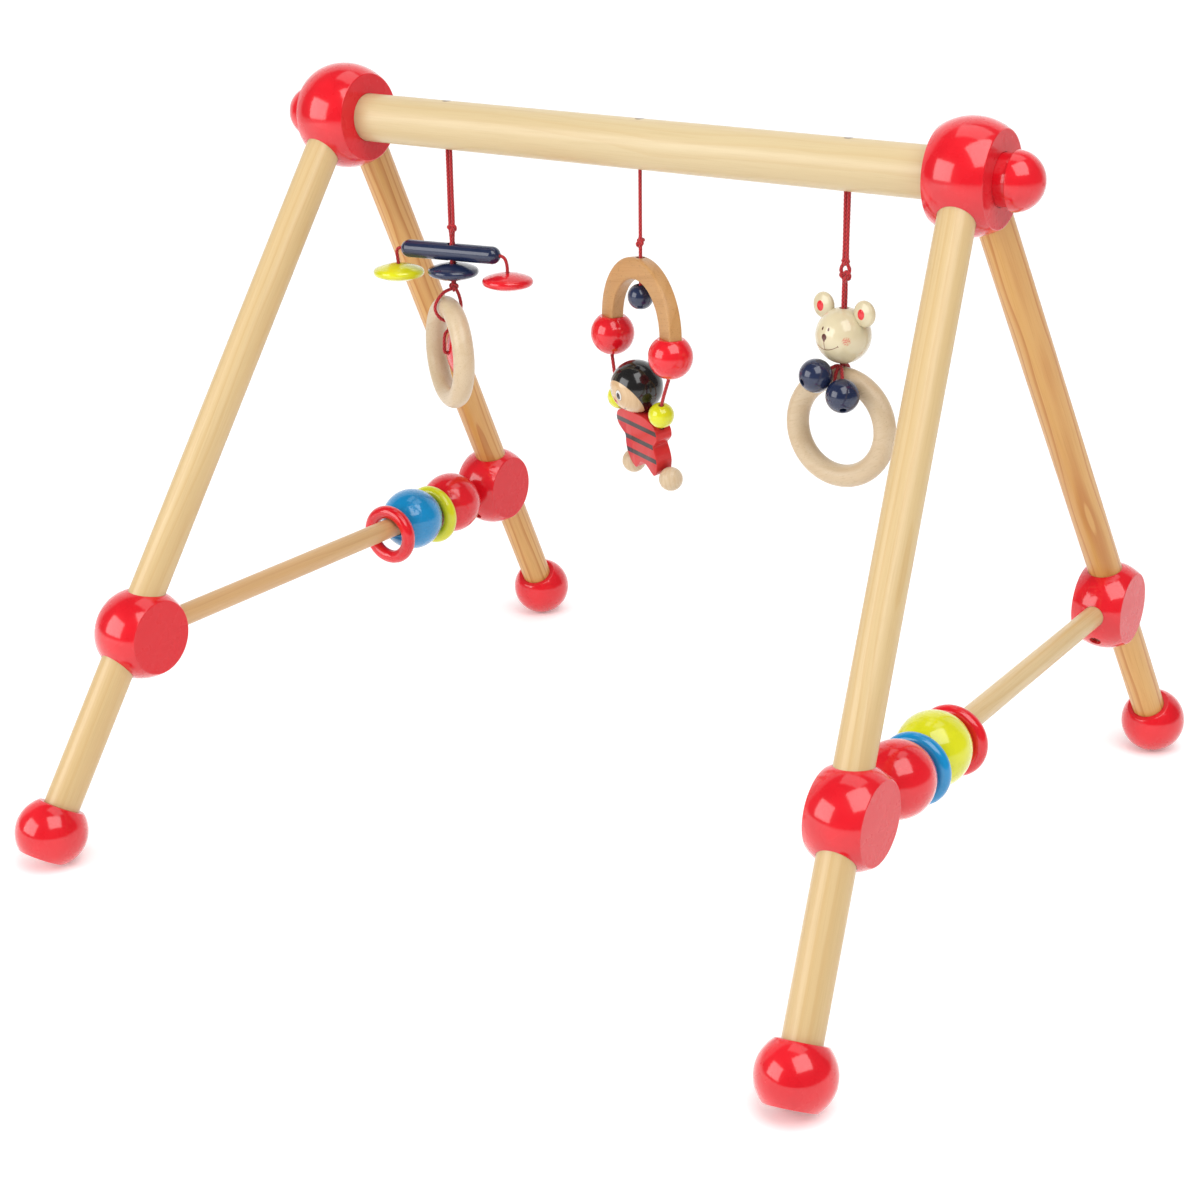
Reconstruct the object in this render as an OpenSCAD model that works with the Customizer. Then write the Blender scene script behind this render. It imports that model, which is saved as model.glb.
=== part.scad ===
// Wooden activity play gym: two A-frames joined by a round crossbar, with bead
// runs on the spreaders and three toys hanging on red cords.
// Millimetres. X runs along the crossbar, Z is up, -Y is the front.
// The origin is on the floor under the middle of the crossbar.

/* [Frame] */
// Distance between the centres of the two top balls
frame_spacing = 440; // [420:5:520]
// Height of the crossbar's axis above the floor
bar_height = 434; // [430:1:460]
// Lean of each leg to the front or back, in degrees
leg_lean = 31.5; // [29:0.5:33]
// Outward splay of each leg, in degrees
leg_splay = 6; // [4:0.5:8]
// Height of the spreaders' axes above the floor
spreader_height = 131; // [120:1:150]

/* [Dowels] */
// Diameter of the crossbar
bar_d = 30; // [28:0.5:31]
// Diameter of the legs
leg_d = 22; // [20:0.5:22]
// Diameter of the two spreaders
spreader_d = 14; // [12:0.5:14]

/* [Joint balls] */
// Diameter of the two top balls
top_ball_d = 66; // [66:1:70]
// Diameter of the four leg joints
joint_ball_d = 58; // [56:1:60]
// Diameter of the four feet
foot_ball_d = 44; // [44:1:48]
// Diameter of the dome on each end knob
knob_ball_d = 34; // [32:1:38]

/* [Spreader beads] */
// Diameter of the balls that slide on the spreaders
bead_d = 44; // [40:1:44]
// Outer diameter of the rings that slide on the spreaders
bead_ring_d = 43; // [41:1:44]
// Thickness of those rings
bead_ring_tube = 9.5; // [8:0.5:9.5]

/* [Toys] */
// Distance between the toys along the crossbar
toy_pitch = 141.2; // [135:0.1:150]
// Shift of all three toys to the right
toy_shift = 2.5; // [0:0.5:5]
// Diameter of one strand of the red cord
cord_d = 2.2; // [1.8:0.1:2.3]
// Outer diameter of the two natural grasping rings
grasp_ring_d = 73; // [70:1:74]
// Thickness of those rings
grasp_ring_tube = 13.5; // [12:0.5:13.5]
// Diameter of the three lens-shaped discs and the one in the ring
disc_d = 32.5; // [28:0.5:33]
// Thickness of the discs
disc_t = 11.3; // [9:0.1:11.5]
// Turn of the navy rod about its cord, in degrees
rod_turn = 10; // [-20:1:20]
// Turn of the left grasping ring about its cord, in degrees
left_ring_turn = -35; // [-60:1:0]
// Turn of the arch and the doll about their cord, in degrees
arch_turn = -28; // [-45:1:0]
// Lean of the doll, head forward, in degrees
doll_lean = 11; // [0:1:12]
// Turn of the bear's head about its cord, in degrees
bear_turn = -16; // [-30:1:0]
// Turn of the bear's grasping ring, in degrees
right_ring_turn = -3; // [-20:1:10]

/* [Hidden] */
$fn = 64;
slip = 0.15;              // radial gap of a dowel in its hole
edge_r = 0.8;             // rounding of a ball's edge at its flats
top_flat = 18.4;           // half width of a top ball across its flats
joint_flat = 17;          // half width of a leg joint across its flats
drill_offset = 9;         // how far a leg's hole passes from the ball's centre
web_half = 3;             // half thickness of the wood left between the two sockets
leg_start = 17.5;         // how near a leg's upper end comes to the ball's centre
foot_flat = foot_ball_d * 0.38;   // from a foot's centre to each of its flats
foot_socket = 6;          // how far a leg passes its foot's centre
spreader_inset = 11;      // how near a spreader's end comes to its joint's centre

// the direction of a leg, and where its axis meets the bar's height
lean_k = tan(leg_lean);
splay_k = tan(leg_splay);
leg_n = sqrt(1 + lean_k * lean_k + splay_k * splay_k);
leg_tilt = acos(1 / leg_n);
leg_root_y = drill_offset / cos(leg_lean);
leg_top_t = leg_start - leg_root_y * lean_k / leg_n;

// a foot rests on the rounded inner rim of its tilted flat
foot_rim_r = sqrt(pow(foot_ball_d / 2 - edge_r, 2) - pow(foot_flat - edge_r, 2));
foot_height = (foot_flat - edge_r) * cos(leg_tilt) + foot_rim_r * sin(leg_tilt) + edge_r;
foot_t = (bar_height - foot_height) * leg_n;

// the centre of a leg joint
joint_leg_z = spreader_height + drill_offset * sin(leg_lean);
joint_x = frame_spacing / 2 + (bar_height - joint_leg_z) * splay_k;
joint_y = leg_root_y + (bar_height - joint_leg_z) * lean_k - drill_offset * cos(leg_lean);

screw_drop = 5;           // how far below the spreader a joint's screw sits
screw_r = 1.75;
screw_hole_r = screw_r + 0.02;
screw_head_r = 3.7;
screw_head = 25;          // from the spreader's line to the top of a screw's head
screw_seat = 22.5;        // and to the face under its head
screw_tip = 8;            // and to its tip on the other side

bar_half = frame_spacing / 2 - web_half;
bolt_r = 4;
bolt_end = 24;            // how far a knob's bolt reaches inboard of the top ball's centre
bolt_hole = 28;           // and how far its hole does
collar_r = bar_d / 2 - 0.1;
knob_reach = 25.6;        // from a top ball's centre to its knob's flat back
knob_wall = 4;            // how far short of that back the bolt stops

bead_bore_r = spreader_d / 2 + 0.3;
first_bead = 53.2;        // from a leg joint's centre to the first ball's centre
bead_step = 46.5;         // from ball to ball
bead_ring_r = (bead_ring_d - bead_ring_tube) / 2;
mid_ring_drop = 3;        // how far each ring hangs below its spreader's axis
end_ring_drop = 4.8;

// the hanging toys: z values are heights above the floor, x and y are from each toy's cord
left_x = toy_shift - toy_pitch;
mid_x = toy_shift + 1.5;
right_x = toy_shift + toy_pitch;
bar_bottom = bar_height - bar_d / 2;
cord_hole_r = 3;
strand = cord_d / 2 + 0.05;   // from the middle of a doubled cord to one strand
cord_bore_r = 2.8;            // a bore that takes both strands
snug_bore_r = cord_d / 2 + 0.4;   // and one that takes a single strand
knot_r = 3.3;
ring_r = (grasp_ring_d - grasp_ring_tube) / 2;
disc_rim = 2.8;

rod_z = 354;
rod_d = 11.4;
rod_len = 70;
rod_shift = -1.4;         // the rod hangs a little off its middle
rod_bore_r = 3.2;
rod_knot_z = 369;
navy_disc_z = 341.5;
low_knot_z = 332;
side_disc_z = 338;
side_disc_x = [-39.5, 38.5];
side_knot_z = 333.4;
side_knot_r = 2.2;
ring_sway = [-1.2, -4];   // how far the left ring hangs to one side of its cord
left_ring_z = 288.5;
ring_disc_d = 30;

arch_z = 323;
arch_r = 36.25;
arch_band = 13.5;
arch_t = 9;
arch_ball_d = 27.5;
arch_ball_z = arch_z - 11;
arch_bead_d = 16;
arch_bead_z = 342;
bead_knot_z = 337.4;       // the knot inside the bead on the arch
loop_knot_z = 375.5;       // the knot above it
acrobat_cord_turn = -57;   // one strand hangs behind the other
doll_pivot_z = arch_ball_z - arch_ball_d / 2;
hand_z = 273;
hand_x = 26;
hand_d = 16;
doll_shift = -1.2;
doll_t = 11.3;
head_d = 33;
head_up = 13;             // from the line of the hands up to the head's centre
neck_z = -3;
shoulder = [22.5, -9.8];  // where the cord leaves the body, from the middle of the hands' line
chest_z = -16;            // where it crosses the body's middle
arm_hole_r = cord_d / 2 + 0.5;
sole_d = 15;
sole_x = 23.4;
sole_z = -43.6;

bear_knot_z = 378.8;       // a tight knot, and a larger one on the head
head_knot_z = 368;
bear_z = 335.7;
bear_d = 33;
ear_d = 15.5;
ear_t = 7;
ear_x = 16.2;
ear_up = 15.2;
right_ring_z = 280.5;
paw_d = 20;
left_paw = [-8.5, -17.2, 314];
right_paw = [9.5, -17.6, 304.5];

// ---------- cord routes: hand-chosen points, each in its toy's own frame ----------
s = strand;   // a doubled cord's two strands run at s and -s
spinner_cord_path = [
    [0, s, low_knot_z], [0, s, 345], [0, 2, 349.5], [0, 2, 357], [0, s, 361.5], [s, 0, rod_knot_z], [s, 0, 400],
    [s, 0, 419], [0.8, 0, 421], [-0.8, 0, 421], [-s, 0, 419],
    [-s, 0, 400], [-s, 0, rod_knot_z], [0, -s, 361.5], [0, -2, 357], [0, -2, 349.5], [0, -s, 345], [0, -s, low_knot_z]];
disc_cord_path = [
    [-39.5, 0, side_knot_z], [-39.5, 0, 343], [-40, 0, 347.5], [-40.3, 0, 351], [-39.4, 0, 353.2], [-37, 0, rod_z],
    [-10, 0, rod_z], [10, 0, rod_z], [34, 0, rod_z], [36.4, 0, 352.9], [37.6, 0, 351], [38.4, 0, 347.5],
    [38.5, 0, 343], [38.5, 0, side_knot_z]];
// the loop goes round the ring's top, and ends in the small disc's hole
ring_loop_path = [
    [0, -1.2, 330.5], [-0.4, -7, 328], [-0.9, -11.8, 322], [-1.2, -12.6, 317], [-1.2, -9.6, 311.5], [-0.8, -4.8, 308.6],
    [-0.3, -3.2, 305.5], [0, -7, 301], [0, -8, 292.5], [0, -7.9, 290], [0, -7.1, 288.8], [0, -5.8, 288.5],
    [0, 5.8, 288.5], [0, 7.1, 288.8], [0, 7.9, 290], [0, 8, 292.5], [0, 7, 301], [-0.3, 1.4, 305.8], [-0.8, -0.2, 309.2],
    [-1.2, 3.3, 313], [-1.2, 4.7, 318.5], [-0.8, 3.6, 325], [0, 1.2, 330.5]];
acrobat_cord_path = [
    [s, 0, bead_knot_z], [s, 0, 375], [s, 0, 419], [0.8, 0, 421], [-0.8, 0, 421],
    [-s, 0, 419], [-s, 0, 375], [-s, 0, bead_knot_z]];
// half of the doll's cord, from an arch ball down through a hand into the body
doll_rise = doll_pivot_z - hand_z;
half_arm_path = [[arch_r, doll_rise * sin(doll_lean), doll_rise * cos(doll_lean) + 1], [28.8, 0.4, 8], [hand_x, 0, 0],
    [23.6, 0, -7.4], [shoulder[0], 0, shoulder[1]], [11.25, 0, -12.9], [0, 0, chest_z]];
bear_cord_path = [
    [0, -1.3, 301.75], [0, -6.1, 304.2], [0, -8.6, 310.25], [0, -6.1, 316.3], [0, -s, 318.8], [0, -s, 366],
    [s, 0, 370], [2.8, 0, 374], [s, 0, 378.5], [s, 0, 419], [0.8, 0, 421], [-0.8, 0, 421], [-s, 0, 419],
    [-s, 0, 378.5], [-2.8, 0, 374], [-s, 0, 370], [0, s, 366], [0, s, 318.8],
    [0, 6.1, 316.3], [0, 8.6, 310.25], [0, 6.1, 304.2], [0, 1.3, 301.75]];
paw_cord_path = [[-13.6, -24.4, 311.6], left_paw, [-3.5, -8.6, 317.2], [0, -4.4, 318.2], [4, -8.4, 315], right_paw,
    [13.5, -22.6, 298]];

// ---------- small helpers ----------
// Put the children's +Z along a leg, with t = 0 at the bar's height
module on_leg(sx, sy, t = 0) {
    translate([sx * frame_spacing / 2, sy * leg_root_y, bar_height])
        rotate([0, acos(-1 / leg_n), atan2(sy * lean_k, sx * splay_k)])
            translate([0, 0, t]) children();
}

module at_joint(sx, sy) {
    translate([sx * joint_x, sy * joint_y, spreader_height]) children();
}

// Hang the children under the bar at x, turned about the cord
module hang(x, turn) {
    translate([x, 0, 0]) rotate([0, 0, turn]) children();
}

module along_x(r, from, to) {
    translate([from, 0, 0]) rotate([0, 90, 0]) cylinder(r = r, h = to - from);
}

module along_y(r, from, to) {
    translate([0, from, 0]) rotate([-90, 0, 0]) cylinder(r = r, h = to - from);
}

module upright(r, from, to) {
    translate([0, 0, from]) cylinder(r = r, h = to - from);
}

module drilled_ball(d, bore_r) {
    difference() {
        sphere(d = d);
        cylinder(r = bore_r, h = d + 2, center = true);
    }
}

// A ball cut flat at both ends of its Z axis, with softened edges
module cut_ball(d, half) {
    level = half - edge_r;
    rim = sqrt(pow(d / 2 - edge_r, 2) - pow(level, 2));
    rotate_extrude($fn = 96) {
        translate([0, -half]) square([rim, 2 * half]);
        intersection() {
            circle(d = d, $fn = 96);
            polygon([[0, 0], [2 * rim, 2 * level], [2 * rim, -2 * level]]);
        }
        for (side = [-1, 1]) translate([rim, side * level]) circle(r = edge_r, $fn = 32);
    }
}

// The upper half of a ball, with a softened rim
module dome(d) {
    rim = sqrt(pow(d / 2 - edge_r, 2) - pow(edge_r, 2));
    rotate_extrude() {
        square([rim, edge_r]);
        intersection() {
            circle(d = d);
            polygon([[0, 0], [2 * rim, 2 * edge_r], [2 * rim, d], [0, d]]);
        }
        translate([rim, edge_r]) circle(r = edge_r, $fn = 32);
    }
}

module ring(r, tube_d) {
    rotate_extrude() translate([r, 0]) circle(d = tube_d);
}

// A lens with a rounded rim, its axis along Z
module lens(d, t, rim, bore_r) {
    a = d / 2;
    c = t / 2;
    face_r = (a * a - 2 * a * rim + c * c) / (2 * (c - rim));
    edge = (a - rim) * face_r / (face_r - rim);
    rotate_extrude() difference() {
        union() {
            intersection() {
                translate([0, c - face_r]) circle(r = face_r, $fn = 128);
                translate([0, face_r - c]) circle(r = face_r, $fn = 128);
                translate([0, -c]) square([edge, t]);
            }
            translate([a - rim, 0]) circle(r = rim);
        }
        if (bore_r > 0) translate([0, -t]) square([bore_r, 2 * t]);
    }
}

function unit(v) = v / norm(v);
function path_dir(p, i) = unit(p[min(i + 1, len(p) - 1)] - p[max(i - 1, 0)]);

function two_sided(p) = concat(p, [for (i = [len(p) - 2:-1:0]) [-p[i][0], p[i][1], p[i][2]]]);

// A round cord along a route. side is square to most of the route
module cord(path, side, sides = 8) {
    count = len(path);
    rings = [for (i = [0:count - 1])
        let (along = path_dir(path, i), u = unit(cross(along, side)), v = cross(along, u))
        for (k = [0:sides - 1]) path[i] + cord_d / 2 * (cos(k * 360 / sides) * u + sin(k * 360 / sides) * v)];
    walls = [for (i = [0:count - 2], k = [0:sides - 1])
        let (n = (k + 1) % sides)
        each [[i * sides + k, (i + 1) * sides + k, (i + 1) * sides + n],
              [i * sides + k, (i + 1) * sides + n, i * sides + n]]];
    first = [for (k = [0:sides - 1]) k];
    last = [for (k = [sides - 1:-1:0]) (count - 1) * sides + k];
    polyhedron(points = rings, faces = concat([first, last], walls), convexity = 6);
}

// ---------- frame ----------
module crossbar() color([0.93, 0.84, 0.66]) difference() {
    translate([0, 0, bar_height]) along_x(bar_d / 2, -bar_half, bar_half);
    for (sx = [-1, 1])
        translate([0, 0, bar_height]) rotate([0, 90 * sx, 0]) upright(bolt_r + 0.1, frame_spacing / 2 - bolt_hole, frame_spacing / 2);
    for (x = [left_x, mid_x, right_x]) translate([x, 0, 0]) {
        upright(cord_hole_r, bar_bottom - 2, bar_height + bar_d);
        translate([0, 0, bar_bottom - 0.5]) cylinder(r1 = cord_hole_r + 1.2, r2 = cord_hole_r, h = 3);
    }
}

module top_joint(sx) color([0.86, 0.1, 0.13]) difference() {
    translate([sx * frame_spacing / 2, 0, bar_height]) rotate([0, 90, 0]) cut_ball(top_ball_d, top_flat);
    translate([sx * frame_spacing / 2, 0, bar_height]) {
        along_x(bar_d / 2 + slip, web_half, top_flat + 1);
        along_x(bar_d / 2 + slip, -top_flat - 1, -web_half);
        along_x(bolt_r + 0.4, -web_half - 1, web_half + 1);
    }
    for (sy = [-1, 1]) on_leg(sx, sy, leg_top_t) cylinder(r = leg_d / 2 + slip, h = top_ball_d);
}

module end_knob(sx) color([0.86, 0.1, 0.13]) translate([sx * frame_spacing / 2, 0, bar_height])
    rotate([0, 90 * sx, 0]) difference() {
        union() {
            translate([0, 0, knob_reach]) dome(knob_ball_d);
            upright(collar_r, web_half + 0.4, knob_reach + 1);
        }
        upright(bolt_r, 0, knob_reach - knob_wall);
    }

module knob_bolt(sx) color([0.75, 0.75, 0.77]) translate([sx * frame_spacing / 2, 0, bar_height])
    rotate([0, 90 * sx, 0]) upright(bolt_r, -bolt_end, knob_reach - knob_wall);

module leg(sx, sy) color([0.9, 0.75, 0.5]) difference() {
    on_leg(sx, sy, leg_top_t) cylinder(r = leg_d / 2, h = foot_t + foot_socket - leg_top_t);
    joint_screw_shape(sx, sy, screw_hole_r);
}

module foot(sx, sy) color([0.86, 0.1, 0.13]) on_leg(sx, sy, foot_t) difference() {
    cut_ball(foot_ball_d, foot_flat);
    upright(leg_d / 2 + slip, -foot_ball_d, foot_socket);
}

// The line of a joint's screw, square to the leg and just below the spreader
module screw_line(sx, sy) {
    at_joint(sx, sy)
        translate(screw_drop * [sx * splay_k, sy * lean_k, -1] / leg_n)
            rotate([-sy * (90 - leg_lean), 0, 0]) children();
}

module joint_screw_shape(sx, sy, r) {
    screw_line(sx, sy) upright(r, -screw_seat, screw_tip);
}

module leg_joint(sx, sy) color([0.86, 0.1, 0.13]) difference() {
    at_joint(sx, sy) rotate([0, 90, 0]) cut_ball(joint_ball_d, joint_flat);
    on_leg(sx, sy, foot_t / 2) cylinder(r = leg_d / 2 + slip, h = foot_t / 2);
    at_joint(sx, sy) rotate([sy * 90, 0, 0]) upright(spreader_d / 2 + slip, spreader_inset, joint_ball_d);
    joint_screw_shape(sx, sy, screw_hole_r);
    screw_line(sx, sy) upright(screw_head_r + 0.2, -joint_ball_d / 2 - 2, -screw_seat);
}

module joint_screw(sx, sy) color([0.78, 0.72, 0.5]) {
    joint_screw_shape(sx, sy, screw_r);
    screw_line(sx, sy) upright(screw_head_r, -screw_head, -screw_seat);
}

module spreader(sx) color([0.88, 0.72, 0.47])
    translate([sx * joint_x, 0, spreader_height])
        along_y(spreader_d / 2, -joint_y + spreader_inset, joint_y - spreader_inset);

// ---------- beads on the spreaders ----------
// steps counts the places from the joint where the run starts, toward the middle
module on_spreader(sx, steps, drop = 0) {
    translate([sx * joint_x, -sx * (joint_y - first_bead - steps * bead_step), spreader_height - drop])
        rotate([90, 0, 0]) children();
}

module bead(sx, steps) {
    on_spreader(sx, steps) drilled_ball(bead_d, bead_bore_r);
}

module bead_ring(sx, steps, drop) {
    on_spreader(sx, steps, drop) ring(bead_ring_r, bead_ring_tube);
}

// ---------- left toy: rod with three discs over a ring ----------
module spinner_cord() color([0.8, 0.12, 0.16]) hang(left_x, rod_turn) {
    cord(spinner_cord_path, [0, 1, 0]);
    translate([0, 0, rod_knot_z]) sphere(r = knot_r, $fn = 24);
    translate([0, 0, low_knot_z]) sphere(r = knot_r, $fn = 24);
}

module spinner_rod() color([0.12, 0.19, 0.35]) hang(left_x, rod_turn) difference() {
    translate([rod_shift, 0, rod_z]) union() {
        along_x(rod_d / 2, -(rod_len - rod_d) / 2, (rod_len - rod_d) / 2);
        for (e = [-1, 1]) translate([e * (rod_len - rod_d) / 2, 0, 0]) sphere(d = rod_d);
    }
    upright(rod_bore_r, rod_z - rod_d, rod_z + rod_d);
    translate([0, 0, rod_z]) along_x(snug_bore_r, -rod_len, rod_len);
}

module disc_cord() color([0.8, 0.12, 0.16]) hang(left_x, rod_turn) {
    cord(disc_cord_path, [0, 1, 0]);
    for (x = side_disc_x) translate([x, 0, side_knot_z]) sphere(r = side_knot_r, $fn = 16);
}

module navy_disc() color([0.12, 0.19, 0.35]) hang(left_x, rod_turn)
    translate([0, 0, navy_disc_z]) lens(disc_d, disc_t, disc_rim, cord_bore_r);

module side_disc(x) {
    hang(left_x, rod_turn) translate([x, 0, side_disc_z]) difference() {
        lens(disc_d, disc_t, disc_rim, snug_bore_r);
        upright(side_knot_r + 0.6, -disc_t, side_knot_z + side_knot_r - side_disc_z + 0.2);
    }
}

module ring_loop_cord() color([0.8, 0.12, 0.16]) hang(left_x, left_ring_turn)
    cord(ring_loop_path, [1, 0, 0.2]);

module left_grasp_ring() color([0.9, 0.76, 0.58]) hang(left_x, left_ring_turn)
    translate([ring_sway[0], ring_sway[1], left_ring_z]) rotate([90, 0, 0]) ring(ring_r, grasp_ring_tube);

module ring_disc() color([0.86, 0.1, 0.13]) hang(left_x, left_ring_turn)
    translate([0, 0, left_ring_z]) rotate([90, 0, 0]) lens(ring_disc_d, disc_t, disc_rim, snug_bore_r);

// ---------- middle toy: arch with an acrobat doll ----------
module acrobat_cord() color([0.8, 0.12, 0.16]) hang(mid_x, acrobat_cord_turn) {
    cord(acrobat_cord_path, [0, 1, 0]);
    translate([0, 0, loop_knot_z]) sphere(r = knot_r, $fn = 24);
    translate([0, 0, bead_knot_z]) sphere(r = knot_r, $fn = 24);
}

module arch() color([0.86, 0.69, 0.49]) hang(mid_x, arch_turn) translate([0, 0, arch_z]) difference() {
    rotate([90, 0, 0]) linear_extrude(arch_t, center = true) intersection() {
        difference() {
            circle(r = arch_r + arch_band / 2, $fn = 128);
            circle(r = arch_r - arch_band / 2, $fn = 128);
        }
        translate([-arch_r * 2, 0]) square([arch_r * 4, arch_r * 2]);
    }
    upright(cord_bore_r, arch_r / 2, arch_r * 2);
}

module arch_bead() color([0.12, 0.19, 0.35]) hang(mid_x, arch_turn)
    translate([0, 0, arch_bead_z]) difference() {
        drilled_ball(arch_bead_d, cord_bore_r);
        upright(knot_r + 0.4, -arch_bead_d, -1);
    }

module arch_ball(e) color([0.86, 0.1, 0.13]) hang(mid_x, arch_turn)
    translate([e * arch_r, 0, arch_ball_z]) difference() {
        sphere(d = arch_ball_d);
        translate([0, 0, arch_z - arch_ball_z + arch_ball_d / 2]) cube(arch_ball_d, center = true);
        upright(snug_bore_r, -arch_ball_d, arch_ball_d);
        translate([0, 0, -arch_ball_d / 2]) cylinder(r1 = 3.2, r2 = snug_bore_r, h = 3);
    }

// The doll's own frame: the origin midway between its hands, leaning about that line
module doll_frame() {
    hang(mid_x, arch_turn) translate([doll_shift, 0, hand_z]) rotate([doll_lean, 0, 0]) children();
}

// Half the outline of the doll's body, from the neck down to the crotch
half_outline = [[0, neck_z], [11, neck_z], [16, -5], [24.5, -9.4], [25, -12], [17.4, -19.5], [16.8, -23],
    [18.2, -31], [17.8, -35], [11.6, -43.5], [9.4, -42], [4, -37.6], [0, -37]];

module doll_body() color([0.85, 0.16, 0.19]) doll_frame() difference() {
    rotate([90, 0, 0]) linear_extrude(doll_t, center = true)
        polygon(concat(half_outline, [for (i = [len(half_outline) - 2:-1:1]) [-half_outline[i][0], half_outline[i][1]]]));
    for (e = [-1, 1]) {
        translate([0, 0, chest_z]) rotate([0, e * atan2(shoulder[0], shoulder[1] - chest_z), 0])
            cylinder(r = arm_hole_r, h = norm([shoulder[0], shoulder[1] - chest_z]));
        translate([e * shoulder[0], 0, shoulder[1]]) rotate([0, e * atan2(1.1, 2.4), 0]) upright(arm_hole_r + 0.5, -1.5, 6);
    }
    for (e = [-1, 1]) translate([e * sole_x, 0, sole_z]) sphere(d = sole_d);
}

module doll_head() color([0.93, 0.76, 0.56]) doll_frame() difference() {
    translate([0, 0, head_up]) sphere(d = head_d);
    translate([-head_d, -head_d, neck_z - head_d]) cube([2 * head_d, 2 * head_d, head_d]);
}

module doll_cord() color([0.8, 0.12, 0.16]) doll_frame() {
    cord(two_sided(half_arm_path), [0, 1, 0]);
}

module hand(e) color([0.88, 0.9, 0.15]) doll_frame()
    translate([e * hand_x, 0, 0]) rotate([0, e * atan2(2.6, 7.7), 0]) drilled_ball(hand_d, arm_hole_r);

module sole(e) color([0.9, 0.76, 0.58]) doll_frame() translate([e * sole_x, 0, sole_z]) sphere(d = sole_d);

// ---------- right toy: bear over a ring ----------
module bear_cord() color([0.8, 0.12, 0.16]) hang(right_x, right_ring_turn) {
    cord(bear_cord_path, [0.12, 1, 0]);
    translate([0, 0, bear_knot_z]) sphere(r = knot_r - 0.7, $fn = 24);
    translate([0, 0, head_knot_z]) sphere(r = knot_r + 0.4, $fn = 24);
}

module bear_head() color([0.95, 0.9, 0.76]) hang(right_x, bear_turn) translate([0, 0, bear_z]) difference() {
    union() {
        sphere(d = bear_d);
        for (e = [-1, 1]) translate([e * ear_x, 0, ear_up]) rotate([90, 0, 0]) lens(ear_d, ear_t, 2.2, 0);
    }
    cylinder(r = cord_bore_r, h = bear_d + 2, center = true);
}

module paw_cord() color([0.8, 0.12, 0.16]) translate([right_x, 0, 0]) cord(paw_cord_path, [0, 0.3, 1]);

module bear_paw(at, along) color([0.12, 0.19, 0.35]) translate([right_x, 0, 0]) translate(at)
    rotate([0, acos(along[2] / norm(along)), atan2(along[1], along[0])]) drilled_ball(paw_d, arm_hole_r);

module right_grasp_ring() color([0.9, 0.76, 0.58]) hang(right_x, right_ring_turn)
    translate([0, 0, right_ring_z]) rotate([90, 0, 0]) ring(ring_r, grasp_ring_tube);

crossbar();
top_joint(-1);  // left_top_joint
top_joint(1);  // right_top_joint
end_knob(-1);  // left_end_knob
end_knob(1);  // right_end_knob
knob_bolt(-1);  // left_knob_bolt
knob_bolt(1);  // right_knob_bolt
leg(-1, -1);  // front_left_leg
leg(-1, 1);  // back_left_leg
leg(1, -1);  // front_right_leg
leg(1, 1);  // back_right_leg
foot(-1, -1);  // front_left_foot
foot(-1, 1);  // back_left_foot
foot(1, -1);  // front_right_foot
foot(1, 1);  // back_right_foot
leg_joint(-1, -1);  // front_left_joint
leg_joint(-1, 1);  // back_left_joint
leg_joint(1, -1);  // front_right_joint
leg_joint(1, 1);  // back_right_joint
joint_screw(-1, -1);  // front_left_screw
joint_screw(-1, 1);  // back_left_screw
joint_screw(1, -1);  // front_right_screw
joint_screw(1, 1);  // back_right_screw
spreader(-1);  // left_spreader
spreader(1);  // right_spreader
color([0.86, 0.1, 0.13]) bead(-1, 0);  // left_red_bead
color([0.88, 0.9, 0.15]) bead_ring(-1, 0.5, mid_ring_drop);  // left_yellow_ring
color([0, 0.5, 0.75]) bead(-1, 1);  // left_blue_bead
color([0.86, 0.1, 0.13]) bead_ring(-1, 1.56, end_ring_drop);  // left_red_ring
color([0.86, 0.1, 0.13]) bead(1, 0);  // right_red_bead
color([0, 0.5, 0.75]) bead_ring(1, 0.5, mid_ring_drop);  // right_blue_ring
color([0.88, 0.9, 0.15]) bead(1, 1);  // right_yellow_bead
color([0.86, 0.1, 0.13]) bead_ring(1, 1.56, end_ring_drop);  // right_red_ring
spinner_cord();
spinner_rod();
disc_cord();
navy_disc();
color([0.88, 0.9, 0.15]) side_disc(side_disc_x[0]);  // yellow_disc
color([0.86, 0.1, 0.13]) side_disc(side_disc_x[1]);  // red_disc
ring_loop_cord();
left_grasp_ring();
ring_disc();
acrobat_cord();
arch();
arch_bead();
arch_ball(-1);  // left_arch_ball
arch_ball(1);  // right_arch_ball
doll_cord();
doll_body();
doll_head();
hand(-1);  // left_hand
hand(1);  // right_hand
sole(-1);  // left_sole
sole(1);  // right_sole
bear_cord();
bear_head();
paw_cord();
bear_paw(left_paw, paw_cord_path[2] - paw_cord_path[0]);  // left_bear_paw
bear_paw(right_paw, paw_cord_path[4] - paw_cord_path[6]);  // right_bear_paw
right_grasp_ring();
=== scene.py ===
"""Wooden activity play gym: looks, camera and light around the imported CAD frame."""

import math

import bmesh
import bpy
from mathutils import Matrix, Vector


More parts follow.
